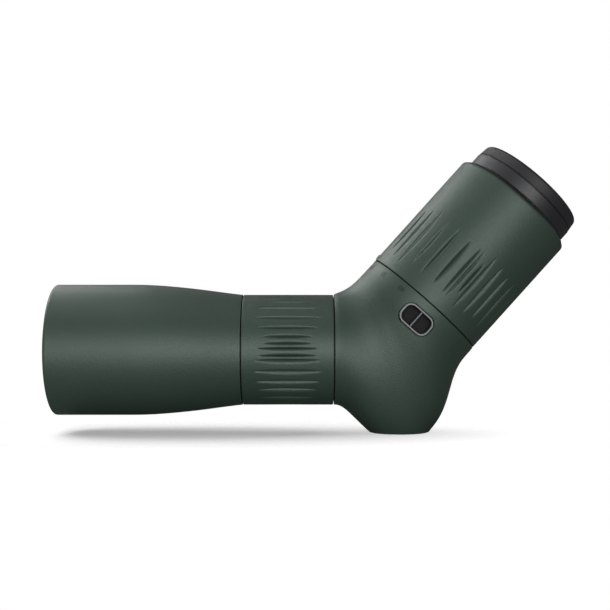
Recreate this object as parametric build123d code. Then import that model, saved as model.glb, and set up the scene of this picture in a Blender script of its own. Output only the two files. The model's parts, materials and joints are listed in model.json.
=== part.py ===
"""Angled spotting scope of the 56 mm class: rubber-armoured, with a focus ring on the body,
a zoom ring round the inclined eyepiece and a twist-up eyecup.

Millimetres. The origin is at the mouth of the tripod socket, in the face of the foot. +Z is up,
+X runs from the objective towards the eyepiece, and +Y is to the right of someone looking through it.

Two local frames carry nearly every piece. In both, the local Z axis is the axis of the light:
the body frame counts its stations as row X, and the eyepiece frame counts them from the zoom seam.
"""

import os
from math import cos, pi, radians, sin, sqrt

from build123d import *

# Where the two optical axes run
AXIS_HEIGHT = 40.3
ELBOW_X = -7.0
EYEPIECE_ANGLE = 48.0
ELBOW_TO_ZOOM_SEAM = 30.3

# Stations along the body, as row X
RIM_X = -167.4
BELL_STRAIGHT = 39.4
FRONT_SEAM_X = -75.5
REAR_SEAM_X = -31.1

# Outside radii
BELL_R = 32.0
NECK_R = 27.0
ZOOM_R = 32.0

# Walls and clearances
ARMOUR = 1.5
BOND = 0.1
TUBE_WALL = 1.2
HOUSING_WALL = 2.2
SEAM_GAP = 0.5
RUN = 0.08
FIT = 0.05
RIM_ROUNDING = 1.35
SEAM_ROUNDING = 0.4
ARMOUR_BACK = ARMOUR + BOND

# Small screws: shank, head radius and head height
TINY_SCREW = (0.6, 1.2, 0.8)
SMALL_SCREW = (0.8, 1.5, 0.7)

# Objective
HOOD_DEPTH = 26.9
HOOD_BORE = BELL_R - ARMOUR_BACK - TUBE_WALL
HOOD_GROOVES, HOOD_GROOVE_PITCH = 5, 1.8
CLEAR_R = HOOD_BORE - 1.2
SEAT_X = RIM_X + HOOD_DEPTH
REAR_LENS_EDGE = 7.0
FRONT_LENS_EDGE = 3.0
SPACER_LENGTH = 1.0
RETAINER_LENGTH = 3.0
SEAL_R = 0.5
BAFFLES, BAFFLE_PITCH = 3, 15.0

# Focusing
RING_WALL = 2.02
CENTRE_TUBE_R = NECK_R - ARMOUR_BACK - RING_WALL - RUN
CENTRE_TUBE_WALL = 1.6
CENTRE_TUBE_BORE = CENTRE_TUBE_R - CENTRE_TUBE_WALL
CENTRE_TUBE_GRIP = 8.0
CENTRE_TUBE_SOCKET = 4.0
FOCUS_RING_BORE = CENTRE_TUBE_R + RUN
FOCUS_PIN_R = 0.95
FOCUS_PIN_X = FRONT_SEAM_X + 14.5
FOCUS_TRAVEL = 12.0
FOCUS_TURN = 540.0
GROOVE_DEPTH = 1.0
FOCUS_LENS_R = CENTRE_TUBE_BORE - 3.2
FOCUS_CELL_LENGTH = 14.0
FOCUS_SEAL_INSET = 4.0

# Stations along the eyepiece, from the zoom seam
BEARING_LENGTH = 6.0
EYEPIECE_FLANGE = -3.0
EYEPIECE_LEDGE_R = ZOOM_R - 8.0
ZOOM_GRIP_END = 65.5
COLLAR_START = ZOOM_GRIP_END + 0.1
COLLAR_END = COLLAR_START + 1.35
EYECUP_SEAM = COLLAR_END + 6.15
EYECUP_END = EYECUP_SEAM + 6.0
EYECUP_TRAVEL, EYECUP_TURN = 7.5, 180.0
SKIRT_START = COLLAR_END - EYECUP_TRAVEL - 0.95
HEAD_FLOOR = 3.0
HEAD_STATION = SKIRT_START - 1.5 - HEAD_FLOOR
NECK_END = EYECUP_END - 3.6

# Zoom: the ring's range each way from rest, and the two lens groups that it drives
ZOOM_BACK, ZOOM_AHEAD = -51.2, 62.6
COLLAR_BEARING_R = ZOOM_R - 3.5
ZOOM_SLEEVE_BORE = COLLAR_BEARING_R + RUN
GUIDE_R, GUIDE_WALL = 20.5, 1.5
CAM_GAP, CAM_WALL = 0.3, 1.6
CAM_BORE = GUIDE_R + CAM_GAP
CAM_OUTER = CAM_BORE + CAM_WALL
CAM_FLANGE_R = ZOOM_SLEEVE_BORE - 2.2
ZOOM_PIN_R = 0.95
SLOT_PLAY = 0.2
FRONT_GROUP_STATION, FRONT_GROUP_PER_DEGREE = BEARING_LENGTH + 7.5, 0.07
REAR_GROUP_STATION, REAR_GROUP_PER_DEGREE = HEAD_STATION - 13.5, -0.088
GROUPS = (
    (FRONT_GROUP_STATION, FRONT_GROUP_PER_DEGREE, 0),
    (REAR_GROUP_STATION, REAR_GROUP_PER_DEGREE, 180),
)
ZOOM_CELL_LENGTH = 9.0
ZOOM_LENS_R = GUIDE_R - GUIDE_WALL - 3.5
WEB_STATION, WEB_WALL = (FRONT_GROUP_STATION + REAR_GROUP_STATION) / 2 + 1.9, 2.1

# Eyecup and eye lenses
HEAD_WALL = 1.0
SKIRT_GAP = 0.44
SLEEVE_WALL = 1.6
GUIDE_RING_WALL, GUIDE_RING_LENGTH = 1.3, 2.7
NECK_OUTER = COLLAR_BEARING_R - HEAD_WALL - SKIRT_GAP - SLEEVE_WALL - GUIDE_RING_WALL - 2 * RUN
NECK_WALL = 1.8
SKIRT_BORE = NECK_OUTER + GUIDE_RING_WALL + 2 * RUN
SKIRT_OUTER = SKIRT_BORE + SLEEVE_WALL
EYECUP_WALL = 1.84
EYECUP_R = SKIRT_OUTER + EYECUP_WALL
EYECUP_CUT = 0.8
EYECUP_PIN_R = 0.8
KEEPER_LENGTH = 1.22
SLEEVE_ROOF = NECK_END + 1.1
EYE_LENS_R, EYE_LENS_EDGE = 16.0, 5.6
EYE_LENS_STATION = NECK_END - 9.5
INNER_EYE_LENS_R, INNER_EYE_LENS_EDGE = 14.0, 4.0
EYE_RETAINER_LENGTH = 2.8

# Prism
PRISM_FACE = 17.0
PRISM_HALF = 13.5
BRACKET_WALL, BRACKET_FLANGE = 1.4, 1.3
CLAMP_LENGTH, CLAMP_WALL = 8.0, 0.9
BRACKET_BORE, BRACKET_R = 14.0, 22.8
BRACKET_SCREW_R = 19.6
SHOULDER_R, SHOULDER_WALL = 16.5, 1.5

# Foot
FOOT_PLATE_LENGTH, FOOT_PLATE_WIDTH, FOOT_PLATE_CORNER = 24.0, 18.0, 5.0
FOOT_PLATE_THICKNESS = 3.0
FOOT_FLOOR = 3.0
SOCKET_R = 2.55
SOCKET_DEPTH = 9.0
INSERT_R = 4.5
BOSS_R = 7.5
FOOT_SCREW_X, FOOT_SCREW_Y = 8.5, 6.0

# Strap lugs
LUG_STATION = -9.8
LUG_LENGTH, LUG_WIDTH, LUG_CORNER = 16.6, 10.5, 4.2
LUG_RIM, LUG_RIM_DEPTH = 1.1, 1.6
LUG_DEPTH = 6.6
LUG_BAR_R = 0.7
LUG_FACE_Y = ZOOM_R - 1.0
LUG_GAP = 0.4

# The elbow's outside, at even steps of the bend. Each row says how far the section stands out
# from a plain bent tube above, below and at the sides, and how much it narrows towards the foot.
ELBOW_SHAPE = [
    (0.00, 0.0, 0.0, 0.00),
    (0.40, 2.8, 0.1, 0.06),
    (0.45, 10.6, 0.3, 0.14),
    (0.60, 19.0, 0.5, 0.21),
    (0.80, 24.8, 0.7, 0.26),
    (1.05, 26.3, 0.9, 0.27),
    (1.25, 22.9, 1.1, 0.25),
    (1.40, 18.8, 1.2, 0.21),
    (1.35, 13.3, 1.3, 0.15),
    (1.20, 7.2, 1.1, 0.09),
    (0.85, 2.7, 0.8, 0.05),
    (0.35, 0.7, 0.4, 0.02),
    (0.00, 0.0, 0.0, 0.00),
]
SECTION_STEPS = 6

SLANT = radians(EYEPIECE_ANGLE)
BODY = Plane(origin=(0, 0, AXIS_HEIGHT), x_dir=(0, 0, -1), z_dir=(1, 0, 0))
ZOOM_SEAM = Vector(
    ELBOW_X + ELBOW_TO_ZOOM_SEAM * cos(SLANT), 0, AXIS_HEIGHT + ELBOW_TO_ZOOM_SEAM * sin(SLANT)
)
EYEPIECE = Plane(
    origin=ZOOM_SEAM, x_dir=(sin(SLANT), 0, -cos(SLANT)), z_dir=(cos(SLANT), 0, sin(SLANT))
)
# The planes of the two elbow seams meet in a line across the body, here
SEAM_PIVOT = Vector(
    REAR_SEAM_X, 0, ZOOM_SEAM.Z + (ZOOM_SEAM.X - REAR_SEAM_X) / sin(SLANT) * cos(SLANT)
)


def ring(outer, inner, start, end):
    """A plain ring, sleeve or disc about the local Z axis."""
    face = Circle(outer) - Circle(inner) if inner else Circle(outer)
    return Pos(0, 0, start) * extrude(face, end - start)


def turned(*outline):
    """A solid turned about the local Z axis from (radius, station) corners."""
    corners = [(radius, 0, station) for radius, station in outline]
    return revolve(make_face(Polyline(*corners, close=True)), Axis.Z)


def sag_arc(radius, edge_station, bulge):
    """Half a lens surface, from the axis out to its clear radius."""
    if not bulge:
        return Line((0, 0, edge_station), (radius, 0, edge_station))
    curve = (radius**2 + bulge**2) / (2 * abs(bulge))
    half = curve - sqrt(curve**2 - (radius / 2) ** 2)
    middle = edge_station + bulge - (half if bulge > 0 else -half)
    return ThreePointArc(
        (0, 0, edge_station + bulge), (radius / 2, 0, middle), (radius, 0, edge_station)
    )


def lens(radius, clear, start, end, start_bulge, end_bulge):
    """A glass element with a flat rim from its clear radius out to its edge."""
    near = sag_arc(clear, start, start_bulge)
    far = sag_arc(clear, end, end_bulge)
    rim = Polyline(
        (clear, 0, start), (radius, 0, start), (radius, 0, end), (clear, 0, end)
    )
    axis = Line((0, 0, end + end_bulge), (0, 0, start + start_bulge))
    return revolve(make_face(Curve() + [near, rim, far, axis]), Axis.Z)


def seal_ring(radius, section, station):
    """A round-section sealing ring about the local Z axis."""
    return Pos(0, 0, station) * Torus(radius, section)


def radial_pin(radius, start, end, station, azimuth=0):
    """A round pin that stands out along a radius of the local frame."""
    pin = Pos(0, 0, station) * Rot(0, 90, 0) * Pos(0, 0, start) * extrude(Circle(radius), end - start)
    return Rot(0, 0, azimuth) * pin


def soft_rims(shape, radius, size, start=-500, end=500):
    """Rounds the rims of a given radius that lie between two stations."""
    rims = shape.edges().filter_by(GeomType.CIRCLE).filter_by_position(Axis.Z, start, end)
    return fillet([rim for rim in rims if abs(rim.radius - radius) < 0.01], size)


def round_about(count, radius, shape, turn=0):
    """Copies of a shape at even angles about the local Z axis."""
    return [Rot(0, 0, turn + 360 * i / count) * Pos(radius, 0, 0) * shape for i in range(count)]


def screw(thread_r, head_r, head_height, length):
    """A socket-headed screw that hangs below its head's seat, which is at local Z zero."""
    body = ring(head_r, 0, 0, head_height) + ring(thread_r, 0, -length, 0)
    socket = extrude(RegularPolygon(head_r * 0.5, 6), head_height * 0.6)
    return body - Pos(0, 0, head_height * 0.4) * socket


def helical_cut(inner, outer, half_height, start_angle, end_angle, start_station, end_station):
    """The swept space of a cam slot, through sections that each hold the local Z axis."""
    steps = max(3, round(abs(end_angle - start_angle) / 18))
    sections = []
    for i in range(steps + 1):
        share = i / steps
        station = start_station + share * (end_station - start_station)
        section = Pos((inner + outer) / 2, station) * Rectangle(outer - inner, 2 * half_height)
        turn = start_angle + share * (end_angle - start_angle)
        sections.append(Rot(0, 0, turn) * (Plane.XZ * section))
    return loft(sections)


def bell_outline(inset):
    """The bell's outline from the straight front to the front seam, moved in by a wall."""
    start = RIM_X + BELL_STRAIGHT
    length = FRONT_SEAM_X - start
    fall = BELL_R - NECK_R
    shares = [(0, 0), (0.37, 0.21), (0.65, 0.53), (0.82, 0.77), (1, 1)]
    points = [(BELL_R - inset - fall * drop, 0, start + length * along) for along, drop in shares]
    return Spline(*points, tangents=[(0, 0, 1), (-0.115, 0, 1)])


def bell_solid(inset, start, end_cut=0.0):
    """Everything inside the bell's outline moved in by a wall, from a station to the front seam."""
    outline = bell_outline(inset)
    sides = Polyline(
        (NECK_R - inset, 0, FRONT_SEAM_X), (0, 0, FRONT_SEAM_X), (0, 0, start),
        (BELL_R - inset, 0, start), (BELL_R - inset, 0, RIM_X + BELL_STRAIGHT),
    )
    solid = revolve(make_face(Curve() + [outline, sides]), Axis.Z)
    return solid - ring(BELL_R, 0, FRONT_SEAM_X - end_cut, FRONT_SEAM_X + 1) if end_cut else solid


def bend_direction(share):
    """From the seam pivot straight across the elbow, at a share of the bend."""
    angle = share * SLANT
    return Vector(sin(angle), 0, -cos(angle))


def elbow_edges(step):
    """Distances from the seam pivot to the top and the bottom of the elbow, and its half width."""
    share = step / (len(ELBOW_SHAPE) - 1)
    hump, belly, bulge, _ = ELBOW_SHAPE[step]
    start = SEAM_PIVOT.Z - AXIS_HEIGHT
    end = (ZOOM_SEAM - SEAM_PIVOT).length
    centre = start + share * (end - start)
    radius = NECK_R + share * (ZOOM_R - NECK_R)
    return centre - radius - hump, centre + radius + belly, radius + bulge


def elbow_section(step, inset):
    """One closed section of the elbow: an oval that narrows towards the foot."""
    outwards = bend_direction(step / (len(ELBOW_SHAPE) - 1))
    top, bottom, half_width = elbow_edges(step)
    taper = ELBOW_SHAPE[step][-1]
    centre = (top + bottom) / 2
    half_height = (bottom - top) / 2 - inset
    points = []
    for i in range(2 * SECTION_STEPS):
        phase = pi * i / SECTION_STEPS
        narrowing = 1 - taper * (1 - cos(phase)) / 2
        across = Vector(0, (half_width - inset) * sin(phase) * narrowing, 0)
        points.append(SEAM_PIVOT + outwards * (centre - half_height * cos(phase)) + across)
    return Wire([Edge.make_spline(points, periodic=True)])


def elbow_solid(inset, floor):
    """The elbow's outside moved in by a wall, cut flat at a height above the ground."""
    solid = Solid.make_loft([elbow_section(step, inset) for step in range(len(ELBOW_SHAPE))])
    return solid - Pos(0, 0, floor - 50) * Box(200, 200, 100)


# ---------------------------------------------------------------- front tube and objective

def front_tube():
    """Drawn aluminium tube: hood, lens seat, tapered rear and the socket for the centre tube."""
    start = RIM_X + ARMOUR
    body = bell_solid(ARMOUR_BACK, start, SEAM_GAP / 2)
    bore = bell_solid(ARMOUR_BACK + TUBE_WALL, start - 1, SEAM_GAP / 2)
    body -= bore - ring(BELL_R, 0, FRONT_SEAM_X - CENTRE_TUBE_GRIP, FRONT_SEAM_X)
    body -= ring(CENTRE_TUBE_R + FIT, 0, FRONT_SEAM_X - CENTRE_TUBE_GRIP - 1, FRONT_SEAM_X)
    body += ring(HOOD_BORE + 0.3, CLEAR_R, SEAT_X, SEAT_X + 2)
    for i in range(HOOD_GROOVES):
        station = start + 1.5 + HOOD_GROOVE_PITCH * i
        body -= ring(HOOD_BORE + 0.4, HOOD_BORE - 1, station, station + 0.9)
    return body


def front_armour():
    """Rubber sleeve of the bell, turned in over the tube's front edge."""
    body = bell_solid(0, RIM_X, SEAM_GAP / 2)
    body -= bell_solid(ARMOUR, RIM_X + ARMOUR - BOND)
    body -= ring(HOOD_BORE, 0, RIM_X - 1, RIM_X + ARMOUR)
    body = soft_rims(body, BELL_R, RIM_ROUNDING, RIM_X - 0.01, RIM_X + 0.01)
    return soft_rims(body, HOOD_BORE, 0.5, RIM_X - 0.01, RIM_X + 0.01)


def objective():
    """Two air-spaced elements, their spacer, seal and threaded retaining ring."""
    lens_r = HOOD_BORE - FIT
    rear = lens(lens_r, CLEAR_R, SEAT_X - REAR_LENS_EDGE, SEAT_X, 2.8, 1.0)
    spacer_start = SEAT_X - REAR_LENS_EDGE - SPACER_LENGTH
    spacer = ring(lens_r, CLEAR_R, spacer_start, SEAT_X - REAR_LENS_EDGE)
    front_start = spacer_start - FRONT_LENS_EDGE
    front = lens(lens_r, CLEAR_R, front_start, spacer_start, -3.5, 2.6)
    seal = seal_ring(CLEAR_R + SEAL_R + 0.2, SEAL_R, front_start - SEAL_R)
    retainer_end = front_start - 2 * SEAL_R
    retainer = ring(lens_r, CLEAR_R + 0.05, retainer_end - RETAINER_LENGTH, retainer_end)
    notch = Pos(0, 0, retainer_end - RETAINER_LENGTH) * Box(2 * BELL_R, 1.6, 1.6)
    return {
        "objective_rear_lens": rear,
        "objective_spacer": spacer,
        "objective_front_lens": front,
        "objective_seal": seal,
        "objective_retaining_ring": retainer - notch,
    }


def light_baffles():
    """Three knife-edged rings that stop stray light on its way to the focusing lens."""
    inside = bell_solid(ARMOUR_BACK + TUBE_WALL + FIT, SEAT_X + 2, CENTRE_TUBE_GRIP + 1)
    baffles = []
    for i in range(BAFFLES):
        station = FRONT_SEAM_X - CENTRE_TUBE_GRIP + 0.5 - BAFFLE_PITCH * (BAFFLES - i)
        blank = inside & ring(BELL_R, 0, station, station + 1)
        baffles.append(blank - ring(CLEAR_R - 2.0 - 1.7 * i, 0, station - 1, station + 2))
    return Compound([baffle.solid() for baffle in baffles])


# ---------------------------------------------------------------- focusing

def centre_tube():
    """Fixed tube under the focus ring, with seal grooves and a straight slot for the follower."""
    start = FRONT_SEAM_X - CENTRE_TUBE_GRIP
    body = ring(CENTRE_TUBE_R, CENTRE_TUBE_BORE, start, centre_tube_end())
    for station in focus_seal_stations():
        body -= ring(CENTRE_TUBE_R + 1, CENTRE_TUBE_R - 1.0, station - 0.6, station + 0.6)
    half_slot = FOCUS_PIN_R + FIT
    reach = FOCUS_TRAVEL + 1.0
    slot = Pos(0, 0, FOCUS_PIN_X + FOCUS_TRAVEL / 2) * Pos(CENTRE_TUBE_R, 0, 0) * Box(
        8, 2 * half_slot, reach
    )
    for station in (FOCUS_PIN_X - 0.5, FOCUS_PIN_X + FOCUS_TRAVEL + 0.5):
        slot += radial_pin(half_slot, CENTRE_TUBE_R - 4, CENTRE_TUBE_R + 4, station)
    return body - slot


def focus_seal_stations():
    return (FRONT_SEAM_X + FOCUS_SEAL_INSET, REAR_SEAM_X - FOCUS_SEAL_INSET)


def focus_seals():
    """The two rings that keep water out of the focus ring's bearing."""
    middle = CENTRE_TUBE_R + RUN / 2 - SEAL_R
    return Compound([seal_ring(middle, SEAL_R, station) for station in focus_seal_stations()])


def focus_ring():
    """Aluminium ring that turns on the centre tube and carries the helical groove inside it."""
    start = FRONT_SEAM_X + SEAM_GAP / 2
    end = REAR_SEAM_X - SEAM_GAP / 2
    body = ring(NECK_R - ARMOUR_BACK, FOCUS_RING_BORE, start, end)
    half = FOCUS_PIN_R + SLOT_PLAY
    depth = FOCUS_RING_BORE + GROOVE_DEPTH
    cut = helical_cut(
        FOCUS_RING_BORE - 1, depth, half, 6, -FOCUS_TURN - 6,
        FOCUS_PIN_X - 6 * FOCUS_TRAVEL / FOCUS_TURN,
        FOCUS_PIN_X + FOCUS_TRAVEL + 6 * FOCUS_TRAVEL / FOCUS_TURN,
    )
    return body - cut


def focus_grip():
    """Rubber sleeve of the focus ring."""
    start = FRONT_SEAM_X + SEAM_GAP / 2
    end = REAR_SEAM_X - SEAM_GAP / 2
    return soft_rims(ring(NECK_R, NECK_R - ARMOUR, start, end), NECK_R, SEAM_ROUNDING)


def focus_carriage():
    """The sliding cell of the focusing lens, its lens, retaining ring and follower pin."""
    start = FOCUS_PIN_X - FOCUS_CELL_LENGTH / 2
    end = FOCUS_PIN_X + FOCUS_CELL_LENGTH / 2
    outer = CENTRE_TUBE_BORE - RUN
    shoulder = start + 3.0
    cell = ring(outer, FOCUS_LENS_R + FIT, start, end) + ring(outer, FOCUS_LENS_R - 1.2, start, shoulder)
    cell -= radial_pin(FOCUS_PIN_R, outer - 1.4, outer + 1, FOCUS_PIN_X)
    glass = lens(FOCUS_LENS_R, FOCUS_LENS_R - 1, shoulder, shoulder + 4.0, 1.2, -1.4)
    retainer = ring(FOCUS_LENS_R, FOCUS_LENS_R - 1.2, shoulder + 4.0, shoulder + 6.5)
    pin = radial_pin(FOCUS_PIN_R, outer - 1.4, FOCUS_RING_BORE + GROOVE_DEPTH - 0.25, FOCUS_PIN_X)
    return {
        "focus_lens_cell": cell,
        "focus_lens": glass,
        "focus_lens_retainer": retainer,
        "focus_follower_pin": pin,
    }


# ---------------------------------------------------------------- prism housing

def lug_place(side):
    """Local Z points out of the side of the housing, and local Y runs along the lug."""
    spot = EYEPIECE.origin + EYEPIECE.z_dir * LUG_STATION
    return Plane(origin=(spot.X, side * LUG_FACE_Y, spot.Z), x_dir=EYEPIECE.z_dir, z_dir=(0, side, 0))


def lug_outline(grow=0.0):
    return RectangleRounded(LUG_WIDTH + 2 * grow, LUG_LENGTH + 2 * grow, LUG_CORNER + grow)


def lug_block(side, grow, depth):
    """The space that a strap lug takes in the housing, grown all round."""
    return lug_place(side) * Pos(0, 0, -depth) * extrude(lug_outline(grow), depth + 2)


def strap_lug(side):
    """Metal rim, blackened cup and the bar that a strap goes round."""
    place = lug_place(side)
    wall = lug_outline() - lug_outline(-LUG_RIM)
    rim = Pos(0, 0, -LUG_RIM_DEPTH) * extrude(wall, LUG_RIM_DEPTH)
    rim = chamfer(rim.edges().filter_by_position(Axis.Z, -0.01, 0.01), 0.25)
    bar_across = Pos(0, 0, -LUG_RIM_DEPTH - LUG_BAR_R) * Rot(0, 90, 0) * Cylinder(LUG_BAR_R, LUG_WIDTH - 0.8)
    cup = Pos(0, 0, -LUG_DEPTH) * extrude(lug_outline(), 1.0)
    cup += Pos(0, 0, 1.0 - LUG_DEPTH) * extrude(wall, LUG_DEPTH - 1.0 - LUG_RIM_DEPTH)
    return {"rim": place * rim, "cup": place * (cup - bar_across), "bar": place * bar_across}


def foot_outline(grow=0.0):
    return RectangleRounded(
        FOOT_PLATE_LENGTH + 2 * grow, FOOT_PLATE_WIDTH + 2 * grow, FOOT_PLATE_CORNER + grow
    )


def foot_screw_spots():
    return [(x, y) for x in (-FOOT_SCREW_X, FOOT_SCREW_X) for y in (-FOOT_SCREW_Y, FOOT_SCREW_Y)]


def centre_tube_end():
    return REAR_SEAM_X + SEAM_GAP / 2 + CENTRE_TUBE_SOCKET


def prism_housing():
    """Cast magnesium elbow with the tripod boss, the eyepiece ledge and the lug wells."""
    wall = ARMOUR_BACK + HOUSING_WALL
    floor = FOOT_PLATE_THICKNESS + FOOT_FLOOR
    start = REAR_SEAM_X + SEAM_GAP / 2
    outside = elbow_solid(ARMOUR_BACK, FOOT_PLATE_THICKNESS)
    body = outside - elbow_solid(wall, floor)
    added = ring(BOSS_R, 0, FOOT_PLATE_THICKNESS, SOCKET_DEPTH + 3.0)
    added += BODY * ring(NECK_R, SHOULDER_R, start, centre_tube_end() + SHOULDER_WALL)
    added += EYEPIECE * ring(ZOOM_R, EYEPIECE_LEDGE_R, EYEPIECE_FLANGE - 3.0, EYEPIECE_FLANGE)
    for side in (1, -1):
        added += lug_block(side, 1.2, LUG_DEPTH + 1.2)
    body += added & outside
    for side in (1, -1):
        body -= lug_block(side, FIT, LUG_DEPTH + FIT)
    body -= ring(INSERT_R + FIT, 0, -1, SOCKET_DEPTH + 1.0 + FIT)
    for x, y in foot_screw_spots():
        body -= Pos(x, y, 0) * ring(0.8, 0, FOOT_PLATE_THICKNESS - 1, FOOT_PLATE_THICKNESS + 2.2)
    body -= BODY * ring(CENTRE_TUBE_R + FIT, 0, start - 5, centre_tube_end())
    body -= BODY * ring(ZOOM_R, 0, start - 5, start)
    body -= EYEPIECE * ring(ZOOM_R + 1, 0, -SEAM_GAP / 2, 5)
    body -= EYEPIECE * ring(ZOOM_R - wall, 0, EYEPIECE_FLANGE, 5)
    for tool in bracket_screw_places(ring(0.6, 0, -2.45, 1)):
        body -= BODY * tool
    for tool in eyepiece_screw_places(ring(0.8, 0, -4.05, 1)):
        body -= EYEPIECE * tool
    return body - purge_place() * (ring(2.3 + FIT, 0, -1.2, 2) + ring(1.4 + FIT, 0, -4, 0))


def housing_armour():
    """Rubber skin of the elbow, open at both seams, round the foot plate and at the lugs."""
    start = REAR_SEAM_X + SEAM_GAP / 2
    body = elbow_solid(0, 0) - elbow_solid(ARMOUR, FOOT_PLATE_THICKNESS - BOND)
    body -= extrude(foot_outline(0.2), FOOT_PLATE_THICKNESS + FOOT_FLOOR)
    for side in (1, -1):
        body -= lug_block(side, LUG_GAP, LUG_DEPTH)
    body -= BODY * ring(ZOOM_R, 0, start - 5, start)
    return body - EYEPIECE * ring(ZOOM_R + 1, 0, -SEAM_GAP / 2, 5)


def foot():
    """The plate that meets the tripod, its screws and the threaded steel insert."""
    plate = extrude(foot_outline(), FOOT_PLATE_THICKNESS)
    plate -= ring(INSERT_R + FIT, 0, -1, FOOT_PLATE_THICKNESS + 1)
    screws = []
    for x, y in foot_screw_spots():
        plate -= Pos(x, y, 0) * (ring(1.5 + FIT, 0, -1, 1.6) + ring(0.8 + FIT, 0, 0, 5))
        screws.append((Pos(x, y, 1.6) * Rot(180, 0, 0) * screw(0.8, 1.5, 1.2, 3.4)).solid())
    insert = ring(INSERT_R, 0, 0, SOCKET_DEPTH + 1.0) - ring(SOCKET_R, 0, -1, SOCKET_DEPTH)
    return {
        "foot_plate": plate,
        "foot_screws": Compound(screws),
        "tripod_thread_insert": insert,
    }


def purge_place():
    """Local Z points out of the top of the cast elbow, from its surface under the armour."""
    last = len(ELBOW_SHAPE) - 1
    before, spot, after = [
        SEAM_PIVOT + bend_direction(step / last) * (elbow_edges(step)[0] + ARMOUR_BACK)
        for step in (4, 5, 6)
    ]
    return Plane(origin=spot, x_dir=(0, 1, 0), z_dir=(after - before).cross(Vector(0, 1, 0)))


def purge_screw():
    """Plug of the nitrogen port, sunk flush in the casting and covered by the armour."""
    return purge_place() * (ring(2.3, 0, -1.2, -0.3) + ring(1.4, 0, -2.1, -1.2))


# ---------------------------------------------------------------- prism

def prism_profile(inset=0.0):
    """Corners of the prism in the upright plane: entrance foot, exit foot, exit top, entrance top."""
    reach = PRISM_FACE * (1 + cos(SLANT)) / sin(SLANT)
    apex = Vector(ELBOW_X - PRISM_FACE, 0, AXIS_HEIGHT + reach)
    down, slant = Vector(0, 0, -1), EYEPIECE.x_dir
    low, high = reach + PRISM_HALF - inset, reach - PRISM_HALF + inset
    return [apex + down * low, apex + slant * low, apex + slant * high, apex + down * high]


def prism():
    """Roof prism that turns the light up into the eyepiece and the image upright."""
    body = extrude(make_face(Polyline(*prism_profile(), close=True)), PRISM_HALF, both=True)
    start, end = prism_profile()[:2]
    along = (end - start).normalized()
    roof = Plane(origin=start - along * 10, x_dir=(0, 1, 0), z_dir=along)
    big = 3 * PRISM_HALF
    below = Polyline((0, 0), (big, big), (big, -big), (-big, -big), (-big, big), close=True)
    if roof.y_dir.Z < 0:
        below = Polyline((0, 0), (big, -big), (big, big), (-big, big), (-big, -big), close=True)
    return body - roof * extrude(make_face(below), (end - start).length + 20)


def bracket_screw_places(shape):
    station = centre_tube_end() + SHOULDER_WALL + BRACKET_FLANGE
    return [Pos(0, 0, station) * place for place in round_about(3, BRACKET_SCREW_R, shape, 180)]


def top_of_prism():
    """Local Z stands up from the flat top of the prism, and local X runs along it."""
    exit_top, entrance_top = prism_profile()[2:]
    along = (exit_top - entrance_top).normalized()
    return Plane(origin=(exit_top + entrance_top) / 2, x_dir=along, z_dir=along.cross(Vector(0, 1, 0)))


def prism_mount():
    """The cage that holds the prism against the front shoulder, its spring clamp and the screws."""
    inner = PRISM_HALF + FIT
    outer = inner + BRACKET_WALL
    station = centre_tube_end() + SHOULDER_WALL
    bracket = BODY * ring(BRACKET_R, BRACKET_BORE, station, station + BRACKET_FLANGE)
    low, exit_low, exit_top, top = prism_profile()
    front = ELBOW_X - PRISM_FACE - 0.4
    profile = [
        Vector(front, 0, top.Z - 14), Vector(front, 0, top.Z - 0.8),
        top + (exit_top - top) * 0.93 - Vector(0, 0, 0.4), exit_low + (exit_top - exit_low) * 0.45,
    ]
    cheek = extrude(make_face(Polyline(*profile, close=True)), outer, both=True)
    bracket += cheek - extrude(make_face(Polyline(*profile, close=True)), inner, both=True)
    place = top_of_prism()
    half = outer + FIT
    clamp = Pos(0, 0, FIT + CLAMP_WALL / 2) * Box(CLAMP_LENGTH, 2 * (half + CLAMP_WALL), CLAMP_WALL)
    screws = []
    for side in (1, -1):
        clamp += Pos(0, side * (half + CLAMP_WALL / 2), -2.6) * Box(CLAMP_LENGTH, CLAMP_WALL, 6.2)
    for side in (1, -1):
        seat = Pos(0, side * (half + CLAMP_WALL), -3.2) * Rot(-90 * side, 0, 0)
        clamp -= seat * ring(0.65, 0, -4, 1)
        bracket -= place * seat * ring(0.6, 0, -4, 1)
        screws.append((place * seat * screw(*TINY_SCREW, 2.1)).solid())
    for tool in bracket_screw_places(screw(*TINY_SCREW, 2.4)):
        screws.append((BODY * tool).solid())
    for tool in bracket_screw_places(ring(0.65, 0, -4, 1)):
        bracket -= BODY * tool
    return {
        "prism_bracket": bracket,
        "prism_clamp": place * clamp,
        "prism_screws": Compound(screws),
    }


# ---------------------------------------------------------------- eyepiece, fixed pieces

def eyepiece_screw_places(shape):
    station = EYEPIECE_FLANGE + 1.6
    middle = (ZOOM_R - ARMOUR_BACK - HOUSING_WALL + EYEPIECE_LEDGE_R) / 2
    return [Pos(0, 0, station) * place for place in round_about(4, middle, shape, 45)]


def group_reach(per_degree):
    """How far a zoom group runs below and above its place at rest."""
    ends = sorted((ZOOM_BACK * per_degree, ZOOM_AHEAD * per_degree))
    return ends[0], ends[1]


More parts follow.
